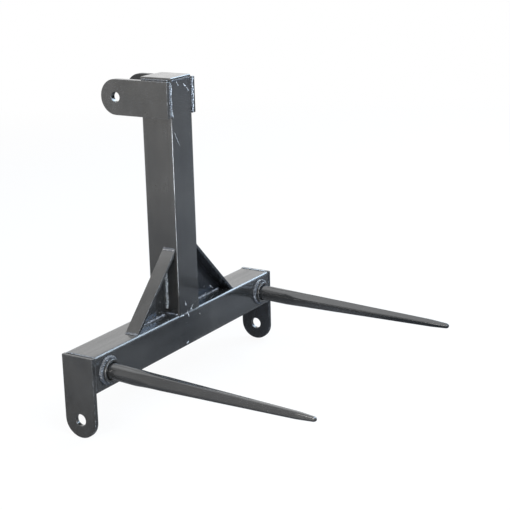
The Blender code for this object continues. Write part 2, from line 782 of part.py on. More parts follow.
def main():
    make_crossbeam()
    make_mast()
    make_mast_cap()
    for side, word in SIDES:
        make_lower_ear(side, word)
        make_top_link_ear(side, word)
        make_gusset_web(side, word)
        make_gusset_strip(side, word)
        make_spear_sleeve(side, word)
        make_spear(side, word, ROLL_LEFT_DEGREES if side < 0 else ROLL_RIGHT_DEGREES)
        make_spear_washer(side, word)
        make_spear_nut(side, word)
        make_sleeve_beads(side, word)
        make_web_beads(side, word)
        make_strip_beads(side, word)
        make_top_beads(side, word)
        make_ear_seam(side, word)
    make_foot_beads()
    make_cap_seams()


clear_scene()
FRAME = bpy.data.objects.new("bale_spear", None)
bpy.context.scene.collection.objects.link(FRAME)
main()
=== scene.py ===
"""Looks of the bale spear: gloss paint, rippled welds, forged spears and soft studio light.

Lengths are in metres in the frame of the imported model: the spears point to -Y and +Z is up.
Shares are fractions of the size that they follow, and scales of noise are per metre.
"""

from math import ceil, cos, pi, radians, sin
from random import Random

import bmesh
import bpy
from mathutils import Matrix, Quaternion, Vector, noise


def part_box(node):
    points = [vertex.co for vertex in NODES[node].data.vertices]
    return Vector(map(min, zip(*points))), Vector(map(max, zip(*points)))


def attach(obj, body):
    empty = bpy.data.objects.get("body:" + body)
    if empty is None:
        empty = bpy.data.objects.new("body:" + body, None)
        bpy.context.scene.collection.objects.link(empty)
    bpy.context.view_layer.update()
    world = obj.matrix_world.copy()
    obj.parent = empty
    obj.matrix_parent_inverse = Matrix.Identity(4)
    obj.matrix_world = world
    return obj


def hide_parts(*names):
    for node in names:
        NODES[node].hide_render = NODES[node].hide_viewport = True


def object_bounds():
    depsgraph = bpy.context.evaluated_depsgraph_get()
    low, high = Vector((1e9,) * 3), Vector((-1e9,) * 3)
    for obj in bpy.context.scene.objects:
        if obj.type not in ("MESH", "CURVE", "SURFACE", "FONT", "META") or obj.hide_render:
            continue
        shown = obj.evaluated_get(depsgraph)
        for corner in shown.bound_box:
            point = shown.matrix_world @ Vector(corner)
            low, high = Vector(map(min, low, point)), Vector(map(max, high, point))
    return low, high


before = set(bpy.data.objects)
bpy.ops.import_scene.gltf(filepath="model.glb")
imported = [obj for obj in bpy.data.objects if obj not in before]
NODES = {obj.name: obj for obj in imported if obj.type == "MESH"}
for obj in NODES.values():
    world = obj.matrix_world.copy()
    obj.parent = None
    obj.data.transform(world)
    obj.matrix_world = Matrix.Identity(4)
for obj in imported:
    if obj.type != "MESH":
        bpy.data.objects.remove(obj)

CAD_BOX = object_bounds()
BODY = "root"
SIDES = ((-1, "left"), (1, "right"))
X, Y, Z = range(3)
UP = (0, 0, 1)
DOWN = (0, 0, -1)
FORWARD = (0, -1, 0)
EVEN = (1, 1, 1)

# Camera: place, aim, roll and lens of the photograph
CAMERA_PLACE = (-2.1554, -1.5489, 1.0078)
CAMERA_AIM = (0.2131, -0.0764, 0.2126)
CAMERA_ROLL_DEGREES = -1.431
CAMERA_LENS = 89.579

# Soft boxes: place, size, brightness and colour
MIDDLE = (0.0, -0.1, 0.2)  # what they point at
SOFT_BOXES = (
    ("left_box", (-2.3, -0.3, 0.72), (1.2, 0.9), 12.5, (1.0, 0.98, 0.95)),
    ("overhead_box", (0.1, 0.6, 3.0), (2.4, 2.6), 1.3, (0.97, 0.99, 1.0)),
    ("high_window", (-0.2, -1.2, 2.9), (1.0, 0.8), 4.0, (0.76, 0.88, 1.0)),
    ("camera_window", (-0.9, -1.95, 2.4), (1.5, 1.0), 13.0, (0.66, 0.80, 1.0)),
    ("right_window", (3.1, -0.9, 2.35), (3.5, 2.2), 7.5, (0.64, 0.82, 1.0)),
)
FILL_COLOUR = (0.90, 0.95, 1.0)
FILL_STRENGTH = 0.24

# Floor
FLOOR_RADIUS = 14.0
FLOOR_DROP = 0.0005
FLOOR_Z = CAD_BOX[0].z - FLOOR_DROP
FLOOR_SHADE = (0.86, 0.87, 0.88)
FLOOR_WHITE_SHARE = 0.92  # of the floor's look that is plain white; the rest takes the shadow
FLOOR_WHITE_RADIUS = 4.0  # from here out the floor looks plain white
FLOOR_FADE_SHARE = 0.4  # of that radius, over which it turns white
DISC_SIDES = 96

# Cards that only mirrored rays meet, painting shade into what the paint mirrors (darkest under the
# object) and a bluish dark reflection: centre above the floor, radii, way they face and tint from the rim
# in
CARD_LIFT = 0.0001
UNDER_TINTS = (
    (0.0, (1, 1, 1)),
    (0.3, (0.68, 0.69, 0.71)),
    (0.7, (0.43, 0.45, 0.48)),
    (0.95, (0.16, 0.16, 0.17)),
)
FRONT_TINTS = ((0.0, (1, 1, 1)), (0.25, (0.66, 0.69, 0.73)), (1.0, (0.36, 0.39, 0.44)))
REAR_TINTS = ((0.0, (1, 1, 1)), (0.4, (0.12, 0.13, 0.15)), (1.0, (0.08, 0.09, 0.10)))
SPEAR_TINTS = ((0.0, (1, 1, 1)), (0.4, (0.12, 0.13, 0.15)))
WALL_TINTS = ((0.0, (1, 1, 1)), (0.4, (0.20, 0.25, 0.36)))
CARDS = (
    ("under_card", (-0.05, 0.1, 0.0), (2.2, 1.9), UP, UNDER_TINTS),
    ("front_card", (2.4, -1.7, 0.0), (3.2, 2.6), UP, FRONT_TINTS),
    ("rear_card", (1.1, 0.35, 0.0), (0.70, 0.70), UP, REAR_TINTS),
    ("spear_card", (0.28, -0.55, 0.0), (0.26, 0.36), UP, SPEAR_TINTS),
    ("wall_card", (2.0, -1.2, 0.78), (0.9, 0.55), (-0.85, 0.53, 0.0), WALL_TINTS),
)

# Layers of the paint: scale, detail and roughness of the noise that makes each one
CLOUD_NOISE = (9.0, 5.0, 0.6)
STREAK_NOISE = (110.0, 3.0, 0.6)
GLINT_FLECK_NOISE = (520.0, 3.0, 0.65)
WORN_NOISE = (170.0, 4.0, 0.7)
SMEAR_NOISE = (26.0, 5.0, 0.65)
SHEEN_NOISE = (34.0, 4.0, 0.6)
PEEL_NOISE = (240.0, 2.0, 0.4)
NIB_NOISE = (800.0, 1.0, 0.3)
GRAIN_NOISE = (900.0, 5.0, 0.7)

# Values of that noise between which each layer comes in
CLOUD_RANGE = (0.32, 0.68)
STREAK_RANGE = (0.30, 0.72)
GLINT_FLECK_FADE = 0.08  # above the value where a paint's own flecks start
WORN_RANGE = (0.48, 0.62)
SMEAR_RANGE = (0.30, 0.72)
SHEEN_RANGE = (0.34, 0.66)
NIB_RANGE = (0.70, 0.82)

# Colour and gloss of the layers, as shares of the paint's own tone and roughness
DARK_SHARE = 0.55
LIGHT_SHARES = (1.60, 1.50, 1.34)
PALE_SHARE = 1.75
STREAK_SHARE = 0.45
DULL_SHARE = 1.8
SHEEN_SHARE = 0.62  # of the coat that is left where the sheen is weakest
COAT_GLOSS_SHARE = 0.5
# pale flecks on the welds stand in for the glints of their ripples: painted highlights
GLINT_FLECK_COLOUR = (0.82, 0.81, 0.78)
# worn edges; on the welds the lighter crests are painted highlights
RUB_AND_GLINT_COLOUR = (0.30, 0.32, 0.34)
RUB_ROUGHNESS = 0.25
NIB_HEIGHT = 0.00012

# Edges, found where a face's rounded normal leaves its flat one
EDGE_RADIUS = 0.0016
EDGE_COSINES = (0.90, 0.985)  # at which the edge is whole, and gone
EDGE_SAMPLES = 4
CORNER_SAMPLES = 8
BEAM_CORNER_WIDTH = 0.008  # the beam's rolled corners shade as if they were this wide

# Paints: tone, roughness, stretch of the streaks, heights of orange peel and grain, glint flecks (pale
# specks that paint highlights on the welds) as their share and the value where they start, share of
# rub on the edges (worn edges, and on the welds a painted highlight on the crests), coat, and width
# of rolled corners.
# Streaks run along the axis whose stretch is lowest.
PAINTS = {
    "mast_black_paint": dict(tone=(0.0195, 0.0195, 0.0195), gloss=0.14),
    "beam_black_paint": dict(
        tone=(0.0190, 0.0195, 0.0200), gloss=0.14, run=(0.05, 1, 1), rolled=BEAM_CORNER_WIDTH
    ),
    "plate_black_paint": dict(tone=(0.0195, 0.0195, 0.0195), gloss=0.15, run=(1, 1, 0.4)),
    "forged_black_paint": dict(
        tone=(0.0145, 0.0149, 0.0157), gloss=0.12, run=(1, 0.1, 1), peel=0.00012, grain=0.00003, coat=0.6
    ),
    # its pale flecks and lighter crests paint the highlights of the weld ripples
    "weld_black_paint": dict(
        tone=(0.019, 0.024, 0.034), gloss=0.05, run=EVEN, peel=0.00026, grain=0.00003,
        glint_flecks=(0.40, 0.58), rub_and_glint=0.35,
    ),
    # heavily flecked weld paint: its pale flecks are painted highlights on the web welds and the spatter
    "glint_flecked_weld_paint": dict(
        tone=(0.030, 0.030, 0.030), gloss=0.14, run=EVEN, peel=0.00020, grain=0.00006,
        glint_flecks=(0.85, 0.49), rub_and_glint=0.3,
    ),
    # darker, matt copy of the plate paint with no coat, for the far top-link ear: painted shade
    "shaded_flat_black_paint": dict(tone=(0.0120, 0.0125, 0.0130), gloss=0.30, coat=0.0),
    # darker, bluer copy of the plate paint with a thin coat, for the right-hand plates: painted shade
    "shaded_thin_black_paint": dict(tone=(0.0120, 0.0135, 0.0165), gloss=0.15, run=(1, 1, 0.4), coat=0.2),
}
# the right-hand plates take the darker copy: painted shade
PLATE_PAINTS = {"left": "plate_black_paint", "right": "shaded_thin_black_paint"}
# the far top-link ear takes the darker copy: painted shade
TOP_EAR_PAINTS = {"left": "plate_black_paint", "right": "shaded_flat_black_paint"}

# Zinc plate, and the pale marks (some are painted highlights): stops of colour and roughness on the noise
ZINC_NOISE = (220.0, 4.0, 0.6)
ZINC_COLOURS = ((0.3, (0.42, 0.42, 0.40)), (0.7, (0.62, 0.61, 0.56)))
ZINC_ROUGHNESSES = ((0.3, 0.26), (0.7, 0.42))
ZINC_GRAIN_NOISE = (1200.0, 3.0, 0.6)
ZINC_GRAIN_HEIGHT = 0.00004
PALE_MARK_NOISE = (900.0, 3.0, 0.6)
PALE_MARK_COLOURS = ((0.36, (0.20, 0.20, 0.21)), (0.50, (0.86, 0.86, 0.87)))
PALE_MARK_ROUGHNESSES = ((0.3, 0.35), (0.7, 0.60))

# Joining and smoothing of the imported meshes
JOIN_DISTANCE = 0.00001
SHARP_DEGREES = 50.0

# Fillet and ring beads
SEAT_GAP = 0.0003
BEAD_STEP = 0.0006  # spacing of the rings along a bead
BEAD_FACE_STEPS = 12
RIPPLE_PITCH = 0.0036
RIPPLE_SHARE = 0.20  # depth of a ripple, as a share of the bead's leg
RIPPLE_BOW_SHARE = 0.55  # how far a ripple bows along the bead, as a share of the pitch
RIPPLE_LEAN = 0.7  # below 1, each ripple is steeper on one side
BULGE_SHARE = 0.15
WANDER_SHARE = 0.22  # how much the leg comes and goes along the bead
WANDER_SCALE = 60.0
LUMP_SHARE = 0.16
LUMP_SCALE = 420.0
END_LENGTH = 0.004
END_SHARE = 0.45

# Beads that keep the form of their node and get a rippled, lumpy skin
SKIN_VOXEL = 0.0006
SKIN_RIPPLE_DEPTH = 0.00045
SKIN_LUMP_DEPTH = 0.00055
SKIN_LUMP_SCALE = 330.0

# Where each bead's lumps are read from the noise; -1 or 1 for the side is added to all but the last
BEAD_SEEDS = {
    "web_mast_weld_": 1.3,
    "web_beam_weld_": 2.6,
    "mast_foot_weld_": 4.1,
    "mast_cap_weld_": 5.7,
    "sleeve_weld_front_": 7.2,
    "sleeve_weld_rear_": 8.8,
}
SKIN_SEED = 10.4
CAP_SKIN_SEED = 12.9

# Weld spatter: how many beads each face gets, and how far from the weld they reach
SPATTER = {
    "mast_front": (12, 0.030),
    "beam_front": (9, 0.025),
    "web_by_mast": (10, 0.030),
    "web_by_beam": (8, 0.025),
    "deck_by_web": (10, 0.040),
    "deck_by_mast": (8, 0.030),
}
SPATTER_WEB_SHARE = 0.8  # of the web's sides
SPATTER_SIZE = 0.0010
SPATTER_LEAST_SHARE = 0.35
SPATTER_SINK_SHARE = 0.3
SPATTER_SMOOTHNESS = 2
SPATTER_SEED = 11

# Pale marks on the paint; those on the ear beads, along the mast's corner and by the right web are
# painted highlights. Face, two ends, width and wander. Each end names a place across the object and
# the distance to the right of it, then a height and the distance above it.
MARKS = (
    ("front", ("left", 0.020, "cap", -0.006), ("left", 0.031, "cap", -0.020), 0.0016, 3),
    ("front", ("left", 0.050, "cap", -0.004), ("left", 0.066, "cap", -0.009), 0.0028, 2),
    ("front", ("left", 0.047, "cap", -0.017), ("left", 0.055, "cap", -0.024), 0.0020, 2),
    ("front", ("left", 0.058, "cap", -0.026), ("left", 0.066, "cap", -0.034), 0.0014, 2),
    ("front", ("left", 0.007, "deck", 0.400), ("left", 0.026, "deck", 0.367), 0.0007, 1),
    # painted highlights on the beads beside the top-link ears
    ("bead", ("left", 0.001, "cap", -0.014), ("left", -0.002, "ear", 0.045), 0.0034, 3),
    ("bead", ("left", -0.002, "ear", 0.047), ("left", 0.003, "ear", 0.0), 0.0022, 3),
    ("bead", ("right", 0.003, "cap", 0.0), ("right", 0.001, "ear", 0.0), 0.0036, 4),
    # painted highlight along the mast's front-left rounded corner
    ("corner", ("corner", 0.0, "ear", -0.002), ("corner", 0.0, "deck", 0.250), 0.0009, 0.4),
    ("corner", ("corner", 0.0, "deck", 0.262), ("corner", 0.0, "deck", 0.040), 0.0005, 0.4),
    # painted highlight on the bead by the right web
    ("web", ("toe", -0.046, "deck", 0.017), ("toe", -0.032, "deck", 0.009), 0.0024, 3),
    ("front", ("left", 0.022, "deck", 0.028), ("left", 0.025, "deck", 0.016), 0.0020, 2),
    ("front", ("left", 0.041, "deck", 0.002), ("left", 0.052, "deck", 0.012), 0.0020, 4),
    ("front", ("left", 0.029, "deck", 0.003), ("left", 0.034, "deck", -0.013), 0.0016, 3),
    ("front", ("left", 0.022, "beam", 0.007), ("left", 0.031, "beam", 0.008), 0.0024, 3),
    ("front", ("left", 0.002, "deck", -0.004), ("left", 0.016, "deck", -0.003), 0.0018, 3),
)
MARK_CORNER_INSET = 0.0011  # from the mast's faces to the middle of its rounded corner
MARK_LIFT = 0.00012
MARK_STEP = 0.0009
MARK_STEPS = 14  # at least
MARK_WANDER = 0.0008
MARK_WANDER_SCALE = 170.0
MARK_ROUGH_WANDER = 2  # a mark that wanders this much is as ragged as they get
MARK_THIN_SHARE = 0.45  # of the width, lost by the most ragged
MARK_RAGGED_SHARE = 1.7  # of the width, by which that comes and goes
MARK_LEAST_SHARE = 0.03
MARK_END_SHARE = 0.12  # of the width, left at the two ends
MARK_END_SWELL = 6  # how fast the width grows from there

# Spears, in front of the sleeves
SPEAR_DIAMETER = 0.0342
SPEAR_ROUND_LENGTH = 0.0605
SPEAR_SQUARE_START = 0.1255  # from the sleeve's mouth to where the section is fully square
SPEAR_SQUARE_WIDTH = {"left": 0.0277, "right": 0.0257}
SPEAR_POINT_LENGTH = 0.041
SPEAR_POINT_WIDTH = {"left": 0.0143, "right": 0.0134}
SPEAR_TIP_WIDTH = 0.0096
SPEAR_NOSE_LENGTH = 0.0065
SPEAR_NOSE_STEPS = 8
SPEAR_ROUNDNESS = 2.0  # exponent of the section's outline where it is a circle
SPEAR_SQUARENESS = 5.0  # and where it is square
SPEAR_SIDES = 72
SPEAR_ROW_STEP = 0.0030
SPEAR_ROLL_DEGREES = {"left": -13.0, "right": 33.0}
SPEAR_LEAN = {"left": (-0.0109, -0.0037), "right": (0.0082, -0.0108)}  # of the tip, along X and Z
SPEAR_SAG = 0.0016  # how far the round stretch dips in front of the sleeve
FORGE_DEPTH = 0.00009  # depth of the marks that the forging dies leave
FORGE_BROAD_SCALE = 90.0
FORGE_FINE_SCALE = 300.0
FORGE_FINE_SHARE = 0.45
FORGE_ALONG_SHARE = 0.3  # marks are stretched along the spear

# Their studs and shanks, behind the sleeves' mouths
STUD_DIAMETER = 0.022
STUD_POINT_BEVEL = 0.002
SHANK_END_INSET = 0.0025  # from the sleeve's tail back to the shank's end
SHANK_END_SHARE = 0.78
THREAD_PITCH = 0.0025
THREAD_DEPTH = 0.0013
THREAD_STEP = 0.0004


class Nodes:
    """Short calls that add and link the nodes of one node tree."""

    def __init__(self, tree):
        self.tree = tree

    def add(self, kind, **settings):
        node = self.tree.nodes.new(kind)
        for key, value in settings.items():
            setattr(node, key, value)
        return node

    def link(self, output, target):
        self.tree.links.new(output, target)

    def fill(self, socket, value):
        """Sets a socket to a number or a colour, or links an output to it."""
        if isinstance(value, (int, float)):
            socket.default_value = value
        elif isinstance(value, tuple):
            socket.default_value = (*value, 1)
        else:
            self.link(value, socket)

    def place(self):
        return self.add("ShaderNodeTexCoord").outputs["Object"]

    def scaled(self, place, scale):
        mapping = self.add("ShaderNodeMapping")
        mapping.inputs["Scale"].default_value = scale
        self.link(place, mapping.inputs["Vector"])
        return mapping.outputs["Vector"]

    def math(self, operation, first, second, clamp=False):
        node = self.add("ShaderNodeMath", operation=operation, use_clamp=clamp)
        for socket, value in zip(node.inputs, (first, second)):
            self.fill(socket, value)
        return node.outputs[0]

    def ramp(self, value, *stops):
        """Colour or grey ramp through (position, colour) stops."""
        node = self.add("ShaderNodeValToRGB")
        elements = node.color_ramp.elements
        while len(elements) < len(stops):
            elements.new(0.5)
        for element, (position, colour) in zip(elements, stops):
            grey = isinstance(colour, (int, float))
            element.position = position
            element.color = (colour, colour, colour, 1) if grey else (*colour, 1)
        self.link(value, node.inputs["Fac"])
        return node.outputs["Color"]

    def inward(self, place):
        """Rises from 0 at one unit from the origin to 1 at the origin."""
        gradient = self.add("ShaderNodeTexGradient", gradient_type="SPHERICAL")
        self.link(place, gradient.inputs["Vector"])
        return gradient.outputs["Fac"]

    def seen_directly(self):
        """1 for rays from the camera, a mirror or through glass, 0 for the light that falls on things."""
        path = self.add("ShaderNodeLightPath")
        seen = path.outputs["Is Camera Ray"]
        for name in ("Is Glossy Ray", "Is Transmission Ray"):
            seen = self.math("MAXIMUM", seen, path.outputs[name])
        return seen

    def finish(self, output, surface):
        self.link(surface, self.tree.nodes[output].inputs["Surface"])

    def finish_with_mix(self, output, share, first, second):
        """Ends the tree in a mix of two shaders."""
        both = self.add("ShaderNodeMixShader")
        for socket, value in zip(both.inputs, (share, first.outputs[0], second.outputs[0])):
            self.link(value, socket)
        self.finish(output, both.outputs[0])


class Shader(Nodes):
    """A Principled material, with calls for the layers of its paint."""

    def __init__(self, name):
        self.material = bpy.data.materials.new(name)
        self.material.use_nodes = True
        super().__init__(self.material.node_tree)
        self.principled = self.tree.nodes["Principled BSDF"]
        self.spot = self.place()

    def set(self, name, value):
        self.principled.inputs[name].default_value = value

    def feed(self, name, output):
        self.link(output, self.principled.inputs[name])

    def noise(self, scale, detail, roughness, stretch=EVEN):
        texture = self.add("ShaderNodeTexNoise")
        texture.inputs["Scale"].default_value = scale
        texture.inputs["Detail"].default_value = detail
        texture.inputs["Roughness"].default_value = roughness
        self.link(self.scaled(self.spot, stretch), texture.inputs["Vector"])
        return texture.outputs["Fac"]

    def patches(self, value, start, end):
        """0 where a noise is below start, 1 where it is above end."""
        return self.ramp(value, (start, 0.0), (end, 1.0))

    def mix(self, share, first, second):
        """Blend of two colours, which a Mix node takes at its sockets 6 and 7."""
        node = self.add("ShaderNodeMix", data_type="RGBA")
        self.fill(node.inputs[0], share)
        self.fill(node.inputs[6], first)
        self.fill(node.inputs[7], second)
        return node.outputs[2]

    def bump(self, height, distance, below=None):
        node = self.add("ShaderNodeBump")
        node.inputs["Distance"].default_value = distance
        self.link(height, node.inputs["Height"])
        if below is not None:
            self.link(below, node.inputs["Normal"])
        return node.outputs["Normal"]

    def rounded(self, radius, samples):
        """Normal of the surface with its edges rounded off."""
        bevel = self.add("ShaderNodeBevel", samples=samples)
        bevel.inputs["Radius"].default_value = radius
        return bevel.outputs["Normal"]

    def edges(self):
        """Rises from 0 on flat faces to 1 on convex edges."""
        dot = self.add("ShaderNodeVectorMath", operation="DOT_PRODUCT")
        self.link(self.rounded(EDGE_RADIUS, EDGE_SAMPLES), dot.inputs[0])
        self.link(self.add("ShaderNodeNewGeometry").outputs["Normal"], dot.inputs[1])
        whole, gone = EDGE_COSINES
        return self.ramp(dot.outputs["Value"], (whole, 1.0), (gone, 0.0))


def paint_material(
    name, tone, gloss, run=(1, 1, 0.05), peel=0.00010, grain=0.0, glint_flecks=None, rub_and_glint=0.7, coat=1.0, rolled=0.0
):
    """Black gloss paint: clouding, faint streaks along run, orange peel, pale flecks that paint glints, and
    rubbed edges that on the welds also paint highlights.
    """
    shader = Shader(name)
    cloud = shader.patches(shader.noise(*CLOUD_NOISE), *CLOUD_RANGE)
    streak = shader.patches(shader.noise(*STREAK_NOISE, run), *STREAK_RANGE)
    dark = tuple(DARK_SHARE * part for part in tone)
    light = tuple(share * part for share, part in zip(LIGHT_SHARES, tone))
    pale = tuple(PALE_SHARE * part for part in tone)
    colour = shader.mix(cloud, dark, light)
    colour = shader.mix(shader.math("MULTIPLY", streak, STREAK_SHARE), colour, pale)
    # pale flecks: painted glints on the welds
    if glint_flecks:
        share, start = glint_flecks
        glint_fleck = shader.patches(shader.noise(*GLINT_FLECK_NOISE), start, start + GLINT_FLECK_FADE)
        colour = shader.mix(shader.math("MULTIPLY", glint_fleck, share), colour, GLINT_FLECK_COLOUR)
    worn = shader.patches(shader.noise(*WORN_NOISE), *WORN_RANGE)
    # worn edges, and on the welds painted highlights on the crests
    rubbed_and_glint_edges = shader.math("MULTIPLY", shader.edges(), worn, clamp=True)
    colour = shader.mix(shader.math("MULTIPLY", rubbed_and_glint_edges, rub_and_glint), colour, RUB_AND_GLINT_COLOUR)
    shader.feed("Base Color", colour)

    clean, dull = SMEAR_RANGE
    rough = shader.ramp(shader.noise(*SMEAR_NOISE, run), (clean, gloss), (dull, gloss * DULL_SHARE))
    rough = shader.math("ADD", rough, shader.math("MULTIPLY", rubbed_and_glint_edges, RUB_ROUGHNESS))
    shader.feed("Roughness", rough)

    corners = shader.rounded(rolled, CORNER_SAMPLES) if rolled else None
    normal = shader.bump(shader.noise(*PEEL_NOISE), peel, below=corners)
    nibs = shader.patches(shader.noise(*NIB_NOISE), *NIB_RANGE)
    normal = shader.bump(nibs, NIB_HEIGHT, below=normal)
    if grain:
        normal = shader.bump(shader.noise(*GRAIN_NOISE), grain, below=normal)
    shader.feed("Normal", normal)

    if coat:
        weak, whole = SHEEN_RANGE
        sheen = shader.ramp(shader.noise(*SHEEN_NOISE, run), (weak, SHEEN_SHARE), (whole, 1.0))
        shader.feed("Coat Weight", shader.math("MULTIPLY", sheen, coat))
        shader.feed("Coat Normal", normal)
        shader.set("Coat Roughness", gloss * COAT_GLOSS_SHARE)
    return shader.material


def zinc_material(name):
    """Bright zinc plate with a slight straw tint and fine mottling."""
    shader = Shader(name)
    mottle = shader.noise(*ZINC_NOISE)
    shader.feed("Base Color", shader.ramp(mottle, *ZINC_COLOURS))
    shader.feed("Roughness", shader.ramp(mottle, *ZINC_ROUGHNESSES))
    shader.set("Metallic", 1.0)
    shader.feed("Normal", shader.bump(shader.noise(*ZINC_GRAIN_NOISE), ZINC_GRAIN_HEIGHT))
    return shader.material


def mark_and_highlight_material(name):
    """Pale colour of the marks, broken by specks of paint; some of the marks are painted highlights."""
    shader = Shader(name)
    speck = shader.noise(*PALE_MARK_NOISE)
    shader.feed("Base Color", shader.ramp(speck, *PALE_MARK_COLOURS))
    shader.feed("Roughness", shader.ramp(speck, *PALE_MARK_ROUGHNESSES))
    return shader.material


def add_object(name, data):
    """A new object in the scene."""
    item = bpy.data.objects.new(name, data)
    bpy.context.scene.collection.objects.link(item)
    return item


def add_piece(name, bm, material, slot, *nodes):
    """Links a bmesh as a smooth-shaded piece that rides the frame and stands for CAD nodes."""
    bmesh.ops.recalc_face_normals(bm, faces=bm.faces)
    mesh = bpy.data.meshes.new(name)
    bm.to_mesh(mesh)
    bm.free()
    mesh.shade_smooth()
    mesh.set_sharp_from_angle(angle=radians(SHARP_DEGREES))
    mesh.materials.append(material)
    piece = add_object(name, mesh)
    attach(piece, BODY)
    if nodes:
        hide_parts(*nodes)
    return piece


def joined(node):
    """The faces of a CAD node with their shared corners joined."""
    bm = bmesh.new()
    bm.from_mesh(NODES[node].data)
    bmesh.ops.remove_doubles(bm, verts=bm.verts, dist=JOIN_DISTANCE)
    return bm


def refined(node, material, slot):
    """Stands for a CAD node with the same faces, shaded flat on flats and round on edges."""
    piece = add_piece(node + "_finished", joined(node), material, slot, node)
    modifier = piece.modifiers.new("even_faces", "WEIGHTED_NORMAL")
    modifier.keep_sharp = True


def remeshed(node):
    """Fine, even skin of a CAD node, as a bmesh."""
    mesh = bpy.data.meshes.new("remesh_source")
    bm = joined(node)
    bm.to_mesh(mesh)
    bm.free()
    source = add_object("remesh_source", mesh)
    modifier = source.modifiers.new("skin", "REMESH")
    modifier.mode = "VOXEL"
    modifier.voxel_size = SKIN_VOXEL
    graph = bpy.context.evaluated_depsgraph_get()
    skin = bpy.data.meshes.new_from_object(source.evaluated_get(graph))
    bm = bmesh.new()
    bm.from_mesh(skin)
    bpy.data.objects.remove(source)
    bpy.data.meshes.remove(mesh)
    bpy.data.meshes.remove(skin)
    return bm


def lumpy(node, seed, material):
    """Stands for a bead of the CAD with a rippled, lumpy skin over the same form."""
    low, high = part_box(node)
    size = high - low
    along = max(range(3), key=lambda axis: size[axis])
    bm = remeshed(node)
    bm.normal_update()
    moves = []
    for vertex in bm.verts:
        run = vertex.co[along]
        bow = noise.noise(vertex.co * WANDER_SCALE + Vector((seed, 0, 0)))
        wave = cos(2 * pi * ((run / RIPPLE_PITCH + bow) % 1) ** RIPPLE_LEAN)
        lump = noise.noise(vertex.co * SKIN_LUMP_SCALE + Vector((0, seed, 0)))
        moves.append(vertex.normal * (SKIN_RIPPLE_DEPTH * wave + SKIN_LUMP_DEPTH * lump))
    for vertex, move in zip(bm.verts, moves):
        vertex.co += move
    add_piece(node + "_rippled", bm, material, "painted_weld", node)


def skin_rows(bm, rows, closed=False):
    """Faces between a row of rings of equal count, and over the two ends unless the row is closed."""
    count = len(rows[0])
    pairs = zip(rows, rows[1:] + rows[:1]) if closed else zip(rows, rows[1:])
    for near, far in pairs:
        for i in range(count):
            j = (i + 1) % count
            bm.faces.new((near[i], near[j], far[j], far[i]))
    if not closed:
        bm.faces.new(rows[0])
        bm.faces.new(rows[-1])


def loft(rings, closed=False):
    """A bmesh skinned over rings of points."""
    bm = bmesh.new()
    skin_rows(bm, [[bm.verts.new(point) for point in ring] for ring in rings], closed)
    return bm


def ripple(run, across, pitch):
    """Height from 0 to 1 of the overlapping ripples at a place along and across a bead."""
    bowed = run / pitch + RIPPLE_BOW_SHARE * (2 * across - 1) ** 2
    phase = (bowed % 1) ** RIPPLE_LEAN
    return 0.5 + 0.5 * cos(2 * pi * phase)


def bead_face(leg, run, pitch, place, seed):
    """Points (u, v) of a bead's face at a place along it, from one toe to the other."""
    size = leg * (1 + WANDER_SHARE * noise.noise(place * WANDER_SCALE + Vector((seed, 0, 0))))
    points = []
    for i in range(BEAD_FACE_STEPS + 1):
        across = i / BEAD_FACE_STEPS
        arch = sin(pi * across)
        spot = place * LUMP_SCALE + Vector((0, across * leg * LUMP_SCALE, seed))
        rise = BULGE_SHARE * arch + RIPPLE_SHARE * ripple(run, across, pitch) * arch ** 0.5
        rise += LUMP_SHARE * noise.noise(spot) * arch
        points.append((size * (1 - across + rise), size * (across + rise)))
    return points


def end_scale(run, length):
    """Share of the full bead near its two rounded ends."""
    near = min(run, length - run) / END_LENGTH
    if near >= 1:
        return 1.0
    return END_SHARE + (1 - END_SHARE) * (1 - (1 - near) ** 2) ** 0.5


def fillet_bead(name, start, end, first, second, leg, seed, material):
    """Rippled fillet from start to end in the corner between two faces, along two unit vectors."""
    length = (end - start).length
    steps = ceil(length / BEAD_STEP)
    rings = []
    for i in range(steps + 1):
        run = length * i / steps
        place = start.lerp(end, i / steps) + (first + second) * SEAT_GAP
        face = bead_face(leg * end_scale(run, length), run, RIPPLE_PITCH, place, seed)
        rings.append([place, *[place + first * u + second * v for u, v in face]])
    add_piece(name + "_rippled", loft(rings), material, "painted_weld", name)


def corner_bead(name, along, first, second, seed, material):
    """Fillet bead that fills the box of its CAD node, whose corner lies against both plates."""
    low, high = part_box(name)
    start, end = low.copy(), low.copy()
    end[along] = high[along]
    leg = 0.0
    for axis, sign in (first, second):
        inner = low[axis] if sign > 0 else high[axis]
        start[axis] = end[axis] = inner - sign * SEAT_GAP
        leg = max(leg, high[axis] - low[axis])
    leg = leg / (1 + RIPPLE_SHARE)
    directions = [Vector([sign if i == axis else 0 for i in range(3)]) for axis, sign in (first, second)]
    fillet_bead(name, start, end, *directions, leg, seed, material)


def ring_bead(name, sleeve, outward, seed, material):
    """Rippled bead round a sleeve where it passes through a face of the beam."""
    low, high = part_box(name)
    sleeve_low, sleeve_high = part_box(sleeve)
    centre = (sleeve_low + sleeve_high) / 2
    radius = (sleeve_high.x - sleeve_low.x) / 2 + SEAT_GAP
    leg = (high.y - low.y) / (1 + RIPPLE_SHARE)
    base = low.y if outward > 0 else high.y
    length = 2 * pi * radius
    pitch = length / round(length / RIPPLE_PITCH)
    steps = ceil(length / BEAD_STEP)
    push = Vector((0, outward, 0))
    rings = []
    for i in range(steps):
        angle = 2 * pi * i / steps
        radial = Vector((cos(angle), 0, sin(angle)))
        corner = Vector((centre.x, base, centre.z)) + radial * radius
        face = bead_face(leg, length * i / steps, pitch, corner, seed)
        rings.append([corner, *[corner + radial * u + push * v for u, v in face]])
    add_piece(name + "_rippled", loft(rings, closed=True), material, "painted_weld", name)


def corner_share(squareness):
    """How far a section of this squareness reaches at its corners, as a share of its half width."""
    return 2 ** (0.5 - 1 / squareness)


